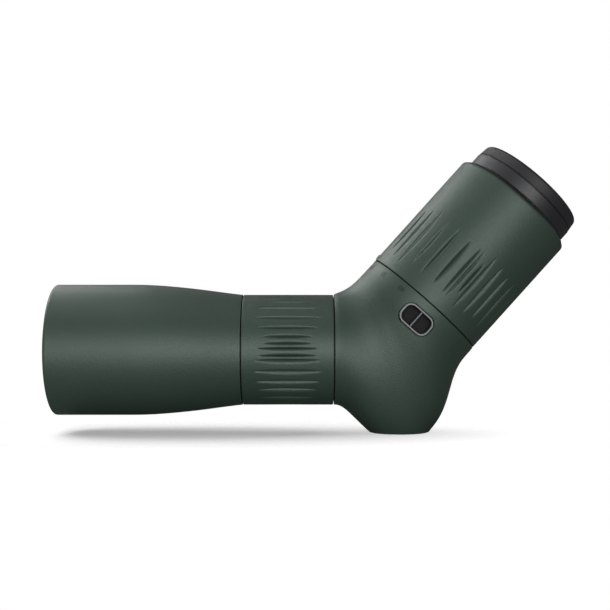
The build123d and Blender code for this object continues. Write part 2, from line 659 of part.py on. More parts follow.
def eyepiece_barrel():
    """Flanged barrel: the bearing of the zoom ring and the slotted guide tube inside it."""
    flange_end = -SEAM_GAP / 2
    body = ring(ZOOM_R - ARMOUR_BACK - HOUSING_WALL - FIT, 0, EYEPIECE_FLANGE, flange_end)
    body += ring(COLLAR_BEARING_R, 0, flange_end, BEARING_LENGTH)
    body += ring(GUIDE_R, 0, BEARING_LENGTH, HEAD_STATION)
    body -= ring(COLLAR_BEARING_R - 2.0, GUIDE_R, flange_end + 0.6, BEARING_LENGTH + 1)
    body -= ring(GUIDE_R - GUIDE_WALL, 0, EYEPIECE_FLANGE - 1, HEAD_STATION + 1)
    for station, per_degree, azimuth in GROUPS:
        low, high = group_reach(per_degree)
        slot = Pos(GUIDE_R - 1, 0, station + (low + high) / 2) * Box(
            6, 2 * (ZOOM_PIN_R + FIT), high - low + 0.4
        )
        for end in (low - 0.2, high + 0.2):
            slot += radial_pin(ZOOM_PIN_R + FIT, GUIDE_R - 4, GUIDE_R + 2, station + end)
        body -= Rot(0, 0, azimuth) * slot
    shank, head = SMALL_SCREW[:2]
    for seat in eyepiece_screw_places(ring(shank + FIT, 0, -5, 1) + ring(head + FIT, 0, 0, 1.2)):
        body -= seat
    return body - seal_groove(*zoom_seal_places()[0])


def eyepiece_screws():
    placed = eyepiece_screw_places(screw(*SMALL_SCREW, 4.0))
    return Compound([shape.solid() for shape in placed])


def field_stop():
    """Blackened diaphragm at the image, at the mouth of the guide tube."""
    inside = GUIDE_R - GUIDE_WALL - FIT
    return turned((inside, -2.5), (inside, 0.5), (inside - 2, 0.5), (11.0, -1.4), (11.0, -1.9), (inside - 2, -2.5))


def eyepiece_head():
    """Screwed into the guide tube: carries the eye lenses, the eyecup's neck and the rear bearing."""
    floor_end = HEAD_STATION + HEAD_FLOOR
    body = ring(COLLAR_BEARING_R, GUIDE_R - GUIDE_WALL - 2.0, HEAD_STATION, floor_end)
    body += ring(GUIDE_R - GUIDE_WALL - FIT, GUIDE_R - GUIDE_WALL - 2.0, HEAD_STATION - 3.4, HEAD_STATION)
    body += ring(NECK_OUTER, NECK_OUTER - NECK_WALL, floor_end, NECK_END)
    body += ring(COLLAR_BEARING_R, COLLAR_BEARING_R - HEAD_WALL, floor_end, COLLAR_START)
    pin_station = eyecup_pin_station()
    margin = 4.0
    body -= helical_cut(
        NECK_OUTER - EYECUP_CUT, NECK_OUTER + 1, EYECUP_PIN_R + SLOT_PLAY, -margin, EYECUP_TURN + margin,
        pin_station - margin * EYECUP_TRAVEL / EYECUP_TURN,
        pin_station + EYECUP_TRAVEL + margin * EYECUP_TRAVEL / EYECUP_TURN,
    )
    key_start = guide_ring_start() - 0.1
    key_end = guide_ring_start() + GUIDE_RING_LENGTH + EYECUP_TRAVEL + 0.1
    keyway = Pos(NECK_OUTER, 0, (key_start + key_end) / 2) * Box(2 * EYECUP_CUT, 2.6, key_end - key_start)
    body -= Rot(0, 0, 270) * keyway
    return body - seal_groove(*zoom_seal_places()[1])


def eyepiece_collar():
    """Glossy black trim ring between the zoom ring and the eyecup."""
    inner = SKIRT_OUTER + 0.3
    return turned(
        (inner, COLLAR_START), (ZOOM_R - 1.3, COLLAR_START), (ZOOM_R - 1.55, COLLAR_START + 0.5),
        (EYECUP_R + 0.1, COLLAR_END), (inner, COLLAR_END),
    )


def zoom_seal_places():
    """Station and section radius of the seal in each of the zoom ring's bearings."""
    return (BEARING_LENGTH - 2.0, 0.45), (ZOOM_GRIP_END - 3.0, 0.3)


def seal_groove(station, section):
    half = section + 0.15
    return ring(COLLAR_BEARING_R + 1, COLLAR_BEARING_R - 2 * section, station - half, station + half)


def zoom_seals():
    """The two rings that keep water out of the zoom ring's bearings."""
    outer = COLLAR_BEARING_R + RUN / 2
    places = zoom_seal_places()
    return Compound([seal_ring(outer - section, section, station) for station, section in places])


def eye_optics():
    """Two eye lenses, the cell that holds them and its retaining ring."""
    outer = NECK_OUTER - NECK_WALL - FIT
    start = HEAD_STATION + HEAD_FLOOR
    inner_seat = start + 1.2
    inner_end = inner_seat + INNER_EYE_LENS_EDGE
    eye_end = EYE_LENS_STATION + EYE_LENS_EDGE
    top = eye_end + EYE_RETAINER_LENGTH
    cell = ring(outer, INNER_EYE_LENS_R - 1.0, start, inner_seat)
    cell += ring(outer, INNER_EYE_LENS_R + FIT, inner_seat, inner_end + 0.4)
    cell += ring(outer, EYE_LENS_R - 1.0, inner_end + 0.4, EYE_LENS_STATION)
    cell += ring(outer, EYE_LENS_R + FIT, EYE_LENS_STATION, top)
    inner_lens = lens(INNER_EYE_LENS_R, INNER_EYE_LENS_R - 1, inner_seat, inner_end, -1.6, 1.4)
    eye_lens = lens(EYE_LENS_R, EYE_LENS_R - 1, EYE_LENS_STATION, eye_end, -1.9, 1.1)
    retainer = turned(
        (EYE_LENS_R, eye_end), (EYE_LENS_R, top), (EYE_LENS_R - 0.2, top),
        (EYE_LENS_R - 1.0, eye_end + 0.4), (EYE_LENS_R - 1.0, eye_end),
    )
    return {
        "eye_lens_cell": cell,
        "inner_eye_lens": inner_lens,
        "eye_lens": eye_lens,
        "eye_lens_retainer": retainer,
    }


# ---------------------------------------------------------------- zoom ring and lens groups

def zoom_sleeve():
    """Aluminium ring under the grip, with the web that drives the cam barrel."""
    body = ring(ZOOM_R - ARMOUR_BACK, ZOOM_SLEEVE_BORE, SEAM_GAP / 2, ZOOM_GRIP_END - 0.2)
    body += ring(ZOOM_SLEEVE_BORE + 0.5, CAM_OUTER + FIT, WEB_STATION, WEB_STATION + WEB_WALL)
    for tool in zoom_screw_places(ring(0.65, 0, -3, 4)):
        body -= tool
    return body


def zoom_screw_places(shape):
    middle = (CAM_OUTER + CAM_FLANGE_R) / 2
    return [Pos(0, 0, WEB_STATION + WEB_WALL) * place for place in round_about(3, middle, shape, 60)]


def zoom_cam_barrel():
    """Barrel that turns with the zoom ring; its two slots drive the lens groups apart."""
    body = ring(CAM_OUTER, CAM_BORE, BEARING_LENGTH + 2.0, HEAD_STATION - 2.5)
    body += ring(CAM_FLANGE_R, CAM_OUTER - 0.5, WEB_STATION - 1.8, WEB_STATION - 0.02)
    for station, per_degree, azimuth in GROUPS:
        past = 4.2
        body -= helical_cut(
            CAM_BORE - 1, CAM_OUTER + 1, ZOOM_PIN_R + SLOT_PLAY,
            azimuth - ZOOM_BACK + past, azimuth - ZOOM_AHEAD - past,
            station + (ZOOM_BACK - past) * per_degree, station + (ZOOM_AHEAD + past) * per_degree,
        )
    for tool in zoom_screw_places(ring(0.6, 0, -5, 4)):
        body -= tool
    return body


def zoom_drive_screws():
    placed = zoom_screw_places(screw(*TINY_SCREW, 3.6))
    return Compound([shape.solid() for shape in placed])


def zoom_grip():
    """Rubber sleeve of the zoom ring, with the raised index mark on top."""
    body = ring(ZOOM_R, ZOOM_R - ARMOUR, SEAM_GAP / 2, ZOOM_GRIP_END)
    body = soft_rims(body, ZOOM_R, RIM_ROUNDING, ZOOM_GRIP_END - 1)
    body = soft_rims(body, ZOOM_R, SEAM_ROUNDING, 0, 1)
    nub = Pos(ZOOM_R - 0.4, 0, 2.3) * fillet(Box(1.7, 1.5, 2.5).edges().filter_by(Axis.Z), 0.6)
    return body + Rot(0, 0, 180) * nub


def zoom_group(station, azimuth, start_bulge, end_bulge):
    """One sliding lens cell of the zoom, with its lens and follower pin."""
    outer = GUIDE_R - GUIDE_WALL - RUN
    start, end = station - ZOOM_CELL_LENGTH / 2, station + ZOOM_CELL_LENGTH / 2
    cell = ring(outer, ZOOM_LENS_R + FIT, start, end) + ring(outer, ZOOM_LENS_R - 1.0, start, start + 1.8)
    cell -= radial_pin(ZOOM_PIN_R, outer - 1.5, outer + 1, station, azimuth)
    glass = lens(ZOOM_LENS_R, ZOOM_LENS_R - 1, start + 1.8, start + 6.0, start_bulge, end_bulge)
    pin = radial_pin(ZOOM_PIN_R, outer - 1.5, CAM_OUTER - 0.1, station, azimuth)
    return cell, glass, pin


# ---------------------------------------------------------------- eyecup

def guide_ring_start():
    return SKIRT_START + KEEPER_LENGTH + RUN


def eyecup_pin_station():
    return guide_ring_start() + GUIDE_RING_LENGTH + RUN + 1.4


def eyecup_guide_ring():
    """Keyed ring that rises with the eyecup without turning, and on which the eyecup turns."""
    start = guide_ring_start()
    inner = NECK_OUTER + RUN
    body = ring(inner + GUIDE_RING_WALL, inner, start, start + GUIDE_RING_LENGTH)
    key = Pos(NECK_OUTER, 0, start + GUIDE_RING_LENGTH / 2) * Box(1.4, 2.5, GUIDE_RING_LENGTH)
    return body + Rot(0, 0, 270) * key


def eyecup_sleeve():
    """Hard inner sleeve of the eyecup, closed in over the neck."""
    shoulder = guide_ring_start() + GUIDE_RING_LENGTH + RUN
    body = ring(SKIRT_OUTER, SKIRT_BORE, SKIRT_START, SLEEVE_ROOF)
    body += ring(SKIRT_BORE + 0.4, NECK_OUTER + 0.3, shoulder, shoulder + 2.8)
    body += ring(SKIRT_OUTER, EYE_LENS_R + 2.2, SLEEVE_ROOF - 0.8, SLEEVE_ROOF)
    return body - radial_pin(EYECUP_PIN_R, NECK_OUTER - 1, SKIRT_BORE + 0.3, eyecup_pin_station())


def eyecup_small_pieces():
    end = SKIRT_START + KEEPER_LENGTH
    keeper = ring(SKIRT_BORE - FIT / 2, NECK_OUTER + 0.3, SKIRT_START, end)
    tip = NECK_OUTER - EYECUP_CUT + 0.12
    pin = radial_pin(EYECUP_PIN_R, tip, SKIRT_BORE + 0.3, eyecup_pin_station())
    return {"eyecup_keeper_ring": keeper, "eyecup_pin": pin}


def eyecup_covers():
    """The band that the fingers turn and the soft rim that the eye rests on."""
    inner = SKIRT_OUTER + FIT
    band = ring(EYECUP_R, inner, COLLAR_END + 0.1, EYECUP_SEAM - 0.2)
    band = soft_rims(band, EYECUP_R, 0.35)
    step, top_r, lip_r = EYECUP_R - 0.6, EYECUP_R - 0.9, EYECUP_R - 4.5
    under = SLEEVE_ROOF + FIT
    rim = turned(
        (inner, EYECUP_SEAM), (step, EYECUP_SEAM), (step, EYECUP_SEAM + 0.2),
        (EYECUP_R - 0.2, EYECUP_SEAM + 0.4), (top_r, EYECUP_END), (lip_r, EYECUP_END),
        (EYE_LENS_R + 2.6, under), (inner, under),
    )
    rim = soft_rims(rim, top_r, 1.6)
    return {"eyecup_band": band, "eyecup_rim": soft_rims(rim, lip_r, 1.2)}


# ---------------------------------------------------------------- the whole scope

def in_frame(plane, shapes):
    return {name: plane * shape for name, shape in shapes.items()}


def all_pieces():
    pieces = in_frame(BODY, {
        "front_tube": front_tube(),
        "front_armour": front_armour(),
        **objective(),
        "light_baffles": light_baffles(),
        "centre_tube": centre_tube(),
        "focus_seals": focus_seals(),
        "focus_ring": focus_ring(),
        "focus_grip": focus_grip(),
        **focus_carriage(),
    })
    pieces |= {
        "prism_housing": prism_housing(),
        "housing_armour": housing_armour(),
        "purge_screw": purge_screw(),
        **foot(),
        "prism": prism(),
        **prism_mount(),
    }
    for side, word in ((1, "right"), (-1, "left")):
        for piece, shape in strap_lug(side).items():
            pieces[f"strap_lug_{piece}_{word}"] = shape
    groups = {
        "front": zoom_group(FRONT_GROUP_STATION, 0, 1.2, -1.3),
        "rear": zoom_group(REAR_GROUP_STATION, 180, -1.4, 1.1),
    }
    zoom_pieces = {}
    for word, (cell, glass, pin) in groups.items():
        zoom_pieces |= {
            f"zoom_{word}_cell": cell, f"zoom_{word}_lens": glass, f"zoom_{word}_pin": pin,
        }
    pieces |= in_frame(EYEPIECE, {
        "eyepiece_barrel": eyepiece_barrel(),
        "eyepiece_screws": eyepiece_screws(),
        "field_stop": field_stop(),
        "eyepiece_head": eyepiece_head(),
        "eyepiece_collar": eyepiece_collar(),
        "zoom_seals": zoom_seals(),
        **eye_optics(),
        "zoom_sleeve": zoom_sleeve(),
        "zoom_cam_barrel": zoom_cam_barrel(),
        "zoom_drive_screws": zoom_drive_screws(),
        "zoom_grip": zoom_grip(),
        **zoom_pieces,
        "eyecup_guide_ring": eyecup_guide_ring(),
        "eyecup_sleeve": eyecup_sleeve(),
        **eyecup_small_pieces(),
        **eyecup_covers(),
    })
    return pieces


def main():
    os.makedirs("parts", exist_ok=True)
    for name, shape in all_pieces().items():
        export_step(shape, f"parts/{name}.step")


if __name__ == "__main__":
    main()
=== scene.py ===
# %% [markdown]
# # A spotting scope with an angled eyepiece
# This lesson dresses the CAD model of a small spotting scope. The model already has every part
# at its real size and place, so most parts only need a finish. New shapes are made where the
# CAD part is plainer than the real one: the two rubber grips with their long leaf-shaped
# flutes, and the numbers of the zoom scale. Everything is in metres, and nothing in the CAD
# model is moved.

# %% Load the model
import json
from collections import namedtuple
from math import cos, degrees, pi, radians, sin

import bpy
import numpy as np
from mathutils import Matrix, Vector


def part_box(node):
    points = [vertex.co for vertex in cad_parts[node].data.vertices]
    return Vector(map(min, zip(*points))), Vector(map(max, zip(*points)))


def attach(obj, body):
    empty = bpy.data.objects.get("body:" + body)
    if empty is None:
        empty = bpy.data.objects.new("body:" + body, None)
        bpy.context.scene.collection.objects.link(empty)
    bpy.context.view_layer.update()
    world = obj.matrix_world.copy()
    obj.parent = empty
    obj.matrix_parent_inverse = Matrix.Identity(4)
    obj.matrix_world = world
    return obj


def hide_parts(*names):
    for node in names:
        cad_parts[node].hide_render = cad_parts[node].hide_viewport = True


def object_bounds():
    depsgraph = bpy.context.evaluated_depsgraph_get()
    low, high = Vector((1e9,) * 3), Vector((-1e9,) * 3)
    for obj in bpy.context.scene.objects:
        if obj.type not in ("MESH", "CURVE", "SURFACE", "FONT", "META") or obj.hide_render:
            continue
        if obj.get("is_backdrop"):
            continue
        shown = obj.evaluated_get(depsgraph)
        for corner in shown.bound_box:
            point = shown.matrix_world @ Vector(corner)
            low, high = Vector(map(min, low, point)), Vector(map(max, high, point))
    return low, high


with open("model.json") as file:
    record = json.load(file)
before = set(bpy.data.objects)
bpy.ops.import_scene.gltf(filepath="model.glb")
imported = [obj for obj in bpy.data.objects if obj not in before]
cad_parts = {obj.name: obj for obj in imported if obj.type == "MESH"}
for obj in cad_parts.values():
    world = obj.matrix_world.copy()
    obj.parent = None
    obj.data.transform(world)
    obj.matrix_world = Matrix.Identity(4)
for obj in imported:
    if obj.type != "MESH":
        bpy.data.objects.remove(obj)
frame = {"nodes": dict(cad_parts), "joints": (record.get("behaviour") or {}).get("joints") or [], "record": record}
cad_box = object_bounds()
MM = 0.001
low, high = cad_box
print(len(frame["nodes"]), "parts in a box of", [round(x / MM, 1) for x in high - low])

# %% [markdown]
# ## The two axes
# A scope is a set of round things on two lines: the body's axis, and the eyepiece's, which
# slants up from it. The joints of the two rings give both lines exactly, so no position has
# to be typed in. Each axis gets two directions across it: `up`, and `near`, towards the side
# that the camera sees.

# %% The axes, from the joints
Axis = namedtuple("Axis", "origin along up near")
NEAR = Vector((0, -1, 0))


def axis_of(joint_name):
    joint = next(j for j in frame["joints"] if j["name"] == joint_name)
    along = Vector(joint["axis"]).normalized()
    return Axis(Vector(joint["pos_m"]), along, NEAR.cross(along), NEAR)


def stations(node, axis):
    """Where a CAD part starts and ends along an axis."""
    places = [(v.co - axis.origin).dot(axis.along) for v in frame["nodes"][node].data.vertices]
    return min(places), max(places)


body_axis = axis_of("focus_turn")
eyepiece_axis = axis_of("zoom_turn")
lean = degrees(eyepiece_axis.along.angle(Vector((1, 0, 0))))
print("the eyepiece leans back", round(lean, 1), "degrees")

# %% [markdown]
# ## Camera
# The scope is seen squarely from its side, from a little over half a metre away, with the
# camera about level with its middle. A long lens keeps the far rims of the round parts from
# showing much.

# %% Camera
CAMERA_DISTANCE, CAMERA_HEIGHT, CAMERA_FROM_FRONT = 0.542, 0.0623, 0.1223
camera_data = bpy.data.cameras.new("camera")
camera = bpy.data.objects.new("camera", camera_data)
bpy.context.scene.collection.objects.link(camera)
camera.location = (low.x + CAMERA_FROM_FRONT, -CAMERA_DISTANCE, CAMERA_HEIGHT)
camera.rotation_euler = (pi / 2, 0, 0)
camera_data.lens = 64.9
camera_data.sensor_width = 36
camera_data.clip_start, camera_data.clip_end = 0.01, 20
bpy.context.scene.camera = camera
bpy.context.scene.view_settings.view_transform = "Standard"
print("camera at", [round(x, 4) for x in camera.location])

# %% [markdown]
# ## Light
# Dark rubber shows its shape only through what it reflects. A wide panel behind and above the
# scope gives the long bright band near the top of each round. One in front, at the height of
# the body, gives the softer band in the middle, and the green between and below them is left
# dark. A weak panel overhead and a dim grey world fill in the rest.

# %% Lamps
middle = (low + high) / 2


def panel(name, place, size, power):
    """A rectangular lamp that faces the middle of the scope."""
    data = bpy.data.lights.new(name, "AREA")
    data.shape, data.size, data.size_y, data.energy = "RECTANGLE", size[0], size[1], power
    lamp = bpy.data.objects.new(name, data)
    bpy.context.scene.collection.objects.link(lamp)
    lamp.location = middle + Vector(place)
    lamp.rotation_euler = (-Vector(place)).to_track_quat("-Z", "Y").to_euler()
    return lamp


panel("lamp_above", (-0.3, -0.1, 0.85), (0.8, 0.5), 1.9)
panel("lamp_front", (0.0, -1.15, -0.02), (1.0, 0.3), 18.0)
panel("lamp_behind", (-0.6, 0.42, 0.6), (0.9, 0.35), 5.8)

# %% [markdown]
# ## Shader sums
# A material is a net of nodes, and much of it is arithmetic. This small class wraps one
# output of a node, so that a sum on it can be written as a sum, and each operator adds the
# Math node that it needs. Every other node comes from one method, `node`, which `vector` and
# `between` call too.

# %% The class Wire
class Wire:
    """One output of a node in a material."""

    def __init__(self, tree, socket=None):
        self.tree, self.socket = tree, socket

    def node(self, kind, settings=(), values=(), output=0):
        """A new node: first its settings, then the values or links of its inputs."""
        made = self.tree.nodes.new(kind)
        for name, value in dict(settings).items():
            setattr(made, name, value)
        for name, value in dict(values).items():
            if isinstance(value, Wire):
                self.tree.links.new(value.socket, made.inputs[name])
            else:
                made.inputs[name].default_value = value
        return Wire(self.tree, made.outputs[output])

    def math(self, operation, *terms):
        return self.node("ShaderNodeMath", {"operation": operation}, enumerate(terms))

    def vector(self, operation, *terms, output=0):
        return self.node("ShaderNodeVectorMath", {"operation": operation}, enumerate(terms), output)

    def between(self, share, first, second):
        """A colour between two others. A Mix node has its colours at sockets 6 and 7."""
        values = {0: share, 6: first, 7: second}
        return self.node("ShaderNodeMix", {"data_type": "RGBA"}, values, output=2)

    def __add__(self, other):
        return self.math("ADD", self, other)

    def __sub__(self, other):
        return self.math("SUBTRACT", self, other)

    def __rsub__(self, other):
        return self.math("SUBTRACT", other, self)

    def __mul__(self, other):
        return self.math("MULTIPLY", self, other)

    __radd__, __rmul__ = __add__, __mul__


# %% [markdown]
# ## A finish
# All finishes here share one pattern. A broad noise shifts the colour slightly, as moulded
# and anodised surfaces vary from place to place. A fine noise gives the grain, which both
# roughens the gloss and moves the surface, through a Bump node. What differs is the scale and
# strength, so one function makes them all. The noises read Object coordinates, which are the
# part's real metres, so a grain of 0.3 mm is 0.3 mm on every part.

# %% The finish function
BROAD_SHARE = 0.7  # how much of the change in colour comes from the broad noise


def linear(*srgb):
    """Turn a colour from 0 to 255, as on a screen, into the linear values that shaders use."""
    shares = [c / 255 for c in srgb]
    return tuple(((c + 0.055) / 1.055) ** 2.4 if c > 0.04 else c / 12.92 for c in shares) + (1.0,)


def grey(level):
    return (level, level, level, 1.0)


def finish(
    name, colour, second, roughness, grain=0.3, depth=0.02, rough_spread=0.1, patch=18.0, **fixed
):
    """A material of two close colours. Grain, depth and patch are sizes in millimetres."""
    material = bpy.data.materials.new(name)
    material.use_nodes = True
    tree = material.node_tree
    shader = tree.nodes["Principled BSDF"]
    start = Wire(tree)
    place = start.node("ShaderNodeTexCoord", output="Object")
    broad = start.node(
        "ShaderNodeTexNoise", values={"Vector": place, "Scale": 1 / (patch * MM), "Detail": 3.0}
    )
    fine = start.node(
        "ShaderNodeTexNoise",
        values={"Vector": place, "Scale": 1 / (grain * MM), "Detail": 2.0, "Roughness": 0.6},
    )
    drift = broad * BROAD_SHARE + fine * (1 - BROAD_SHARE)
    mix = start.between(drift, linear(*colour), linear(*second))
    rough = fine * rough_spread + (roughness - rough_spread / 2)
    bump = start.node(
        "ShaderNodeBump", values={"Height": fine, "Distance": depth * MM, "Strength": 1.0}
    )
    for value, socket in ((mix, "Base Color"), (rough, "Roughness"), (bump, "Normal")):
        tree.links.new(value.socket, shader.inputs[socket])
    for socket, value in fixed.items():
        shader.inputs[socket.replace("_", " ")].default_value = value
    return material


# %% [markdown]
# ## The rubber armour
# The body is wrapped in a thin skin of rubber, matt and dark green, with a grain so fine that
# it shows only as a slight sparkle. It is a blend of two close greens, rough, with a bump of
# about a tenth of a millimetre.

# %% Finishes of the outside
finishes = {
    "armour_green": finish(
        "armour_green", (40, 54, 46), (46, 60, 52), 0.5,
        grain=0.55, depth=0.12, rough_spread=0.16, Specular_Tint=(0.86, 1.0, 0.92, 1.0),
    ),
    "eyecup_black": finish(
        "eyecup_black", (24, 24, 27), (32, 32, 35), 0.48, grain=0.5, depth=0.01,
    ),
    "gloss_trim": finish(
        "gloss_trim", (10, 11, 12), (14, 15, 16), 0.12,
        grain=1.5, depth=0.002, rough_spread=0.04, Coat_Weight=0.6,
    ),
    "bright_trim": finish(
        "bright_trim", (92, 94, 95), (102, 104, 105), 0.55,
        grain=0.2, depth=0.005, Metallic=1.0,
    ),
    # The strap lug's pocket is black plastic, made nearly black as painted shade for the deep shadow inside its
    # recess; its weak reflection keeps it dark too.
    "lug_black": finish(
        "lug_black", (12, 11, 14), (18, 17, 20), 0.7,
        grain=0.4, depth=0.02, Specular_IOR_Level=0.2,
    ),
}
print("outside finishes:", sorted(finishes))

# %% [markdown]
# ## The parts within
# Inside are bare and painted metals, slippery black sleeves and rubber rings. They show at the
# front opening and in the eyecup's dish, and when a shell is taken off.

# %% Finishes of the inside
finishes.update({
    "seal_black": finish("seal_black", (30, 30, 30), (38, 38, 38), 0.6, depth=0.01),
    "anodised_black": finish(
        "anodised_black", (26, 26, 28), (34, 34, 36), 0.55, grain=0.15, depth=0.01, Metallic=0.4,
    ),
    "cast_metal": finish("cast_metal", (46, 46, 46), (56, 56, 56), 0.6, grain=0.6, depth=0.05),
    "steel": finish(
        "steel", (150, 150, 152), (165, 165, 168), 0.3, grain=0.15, depth=0.004, Metallic=1.0,
    ),
    "sleeve_black": finish("sleeve_black", (28, 28, 30), (36, 36, 38), 0.45, depth=0.008),
})
print("finishes with those of the inside:", len(finishes))

# %% [markdown]
# ## Glass
# A lens is clear, but its coating sends back a faint green and violet. The glass here is a
# Principled shader that lets light through. Its tint drifts slowly over the surface, as a
# coating's does.

# %% Glass finishes
def glass(name, tint, second, roughness):
    return finish(
        name, tint, second, roughness, grain=4.0, depth=0.0005, rough_spread=0.01, patch=14.0,
        Transmission_Weight=1.0, IOR=1.52,
    )


finishes["optical_glass"] = glass("optical_glass", (214, 236, 226), (226, 222, 240), 0.02)
finishes["prism_glass"] = glass("prism_glass", (222, 236, 232), (230, 238, 238), 0.03)
print("glass:", [n for n in finishes if "glass" in n])

# %% [markdown]
# ## Dressing the CAD parts
# The record says which finish each part has. A part's mesh is left alone: only the material
# in its slot changes.

# %% Assign the finishes
slot_of = {part["node"]: part["material_slot"] for part in frame["record"]["subparts"]}
for name, node in frame["nodes"].items():
    node.data.materials.clear()
    node.data.materials.append(finishes[slot_of[name]])
print("parts by finish:", {s: list(slot_of.values()).count(s) for s in finishes})

# %% [markdown]
# ## A fluted grip
# Both rings have a rubber sleeve with long flutes, deepest in the middle, that run out to
# nothing at both ends. Cutting dozens of such leaves one by one would leave a rough mesh. It
# is cleaner to make the sleeve as a dense, even ring and to sink its surface where the
# flutes are. The ring is one cross-section of the wall, with its corners rounded, spun round
# the axis. The flutes are painted as weights, and a Displace modifier sinks by those weights.

# %% Helpers for modelling
def nothing_selected():
    if bpy.context.object and bpy.context.object.mode != "OBJECT":
        bpy.ops.object.mode_set(mode="OBJECT")
    bpy.ops.object.select_all(action="DESELECT")


def pick(piece, mode, wanted):
    """In edit mode, select just the vertices or edges for which wanted(middle) is true."""
    bpy.ops.object.mode_set(mode="EDIT")
    bpy.ops.mesh.select_mode(type=mode)
    bpy.ops.mesh.select_all(action="DESELECT")
    bpy.ops.object.mode_set(mode="OBJECT")
    mesh = piece.data
    for item in {"VERT": mesh.vertices, "EDGE": mesh.edges}[mode]:
        if mode == "VERT":
            spot = item.co
        else:
            spot = sum((mesh.vertices[i].co for i in item.vertices), Vector()) / len(item.vertices)
        item.select = wanted(spot)
    bpy.ops.object.mode_set(mode="EDIT")


def stand_on(piece, axis):
    """Move a piece made round the world's Z so that it is round an axis instead, its X up."""
    turn = Matrix((axis.up, axis.near, axis.along)).transposed().to_4x4()
    piece.matrix_world = Matrix.Translation(axis.origin) @ turn
    bpy.ops.object.transform_apply(location=True, rotation=True, scale=True)


def apply_all(piece):
    for modifier in list(piece.modifiers):
        bpy.ops.object.modifier_apply(modifier=modifier.name)


# %% The plain sleeve
RING_STEPS, RING_CUTS, CORNER_CUTS = 720, 76, 6
HAIR = MM / 100  # how close two measures are that should be the same
WELD = MM / 500  # how close two points are that should be one


def sleeve(name, start, end, outer, wall, start_rounding, end_rounding):
    """A sleeve round Z: the cut face of its wall, both outer corners rounded, spun once round."""
    nothing_selected()
    bpy.ops.mesh.primitive_plane_add(size=1, rotation=(pi / 2, 0, 0))
    piece = bpy.context.object
    piece.name = piece.data.name = name
    piece.scale = (wall, end - start, 1)
    piece.location = (outer - wall / 2, 0, (start + end) / 2)
    bpy.ops.object.transform_apply(location=True, rotation=True, scale=True)
    for corner, rounding in ((start, start_rounding), (end, end_rounding)):
        pick(piece, "VERT", lambda spot: spot.x > outer - HAIR and abs(spot.z - corner) < HAIR)
        bpy.ops.mesh.bevel(offset=rounding, segments=CORNER_CUTS, affect="VERTICES")
    bpy.ops.mesh.select_all(action="SELECT")
    bpy.ops.mesh.delete(type="ONLY_FACE")
    middle_z = (start + end + start_rounding - end_rounding) / 2
    pick(piece, "EDGE", lambda spot: spot.x > outer - HAIR and abs(spot.z - middle_z) < MM)
    bpy.ops.mesh.subdivide(number_cuts=RING_CUTS)
    bpy.ops.mesh.select_all(action="SELECT")
    bpy.ops.mesh.spin(steps=RING_STEPS, angle=2 * pi, center=(0, 0, 0), axis=(0, 0, 1))
    bpy.ops.mesh.select_all(action="SELECT")
    bpy.ops.mesh.remove_doubles(threshold=WELD)
    bpy.ops.mesh.normals_make_consistent(inside=False)
    bpy.ops.object.mode_set(mode="OBJECT")
    print(name, len(piece.data.polygons), "faces")
    return piece


# %% [markdown]
# ## How deep a flute is
# A flute is a leaf: its width and depth both shrink from its middle to its ends. Across it
# there is a sharp valley with soft shoulders, and the shoulder below the valley is the wider
# one. Near neighbours share the space between them.

# %% The flutes' depth at each point
UPPER_SHOULDER, LOWER_SHOULDER = 1.7 * MM, 2.8 * MM
VALLEY_SHARPNESS = 3.0
LEAF_FULLNESS = 0.8
TIP_WIDTH = 0.3  # the width at a flute's ends, as a share of that in its middle
FAINTEST = 0.002  # weights up to this one are left out


def flute_weights(piece, outer, middle, flutes):
    """For each point of a sleeve round Z, how deep it sinks, as a share of the deepest."""
    points = np.array([v.co for v in piece.data.vertices])
    turned = np.arctan2(points[:, 1], points[:, 0])
    weights = np.zeros(len(points))
    count = len(flutes)
    for i, (angle, half_length) in enumerate(flutes):
        before = (angle - flutes[i - 1][0]) % 360
        after = (flutes[(i + 1) % count][0] - angle) % 360
        away = (turned - radians(angle) + pi) % (2 * pi) - pi
        leaf = np.clip(1 - ((points[:, 2] - middle) / (half_length * MM)) ** 2, 0, 1)
        upper = min(UPPER_SHOULDER, 0.5 * radians(before) * outer) / outer
        lower = min(LOWER_SHOULDER, 0.5 * radians(after) * outer) / outer
        reach = np.where(away < 0, upper, lower) * (TIP_WIDTH + (1 - TIP_WIDTH) * leaf)
        across = np.clip(1 - np.abs(away) / reach, 0, 1) ** VALLEY_SHARPNESS
        weights = np.maximum(weights, leaf**LEAF_FULLNESS * across)
    on_outside = np.hypot(points[:, 0], points[:, 1]) > outer - HAIR
    return weights * on_outside


def sink(piece, name, weights, depth):
    """Move a piece's surface inwards by depth times the weights."""
    group = piece.vertex_groups.new(name=name)
    for i in np.nonzero(weights > FAINTEST)[0]:
        group.add([int(i)], float(weights[i]), "REPLACE")
    modifier = piece.modifiers.new(name, "DISPLACE")
    modifier.vertex_group, modifier.mid_level, modifier.strength = name, 0, -depth


# %% [markdown]
# ## Where the flutes are
# They stand about 12 degrees apart. Seen from the side, pairs close together alternate with
# wider gaps, and the lengths rise and fall in a wave. The same half pattern is used twice
# round the ring. Each flute is given as its angle from the top and half its length in
# millimetres.

# %% Flutes of both rings
def twice_round(half):
    return [(angle + turn, length) for turn in (0, 180) for angle, length in half]


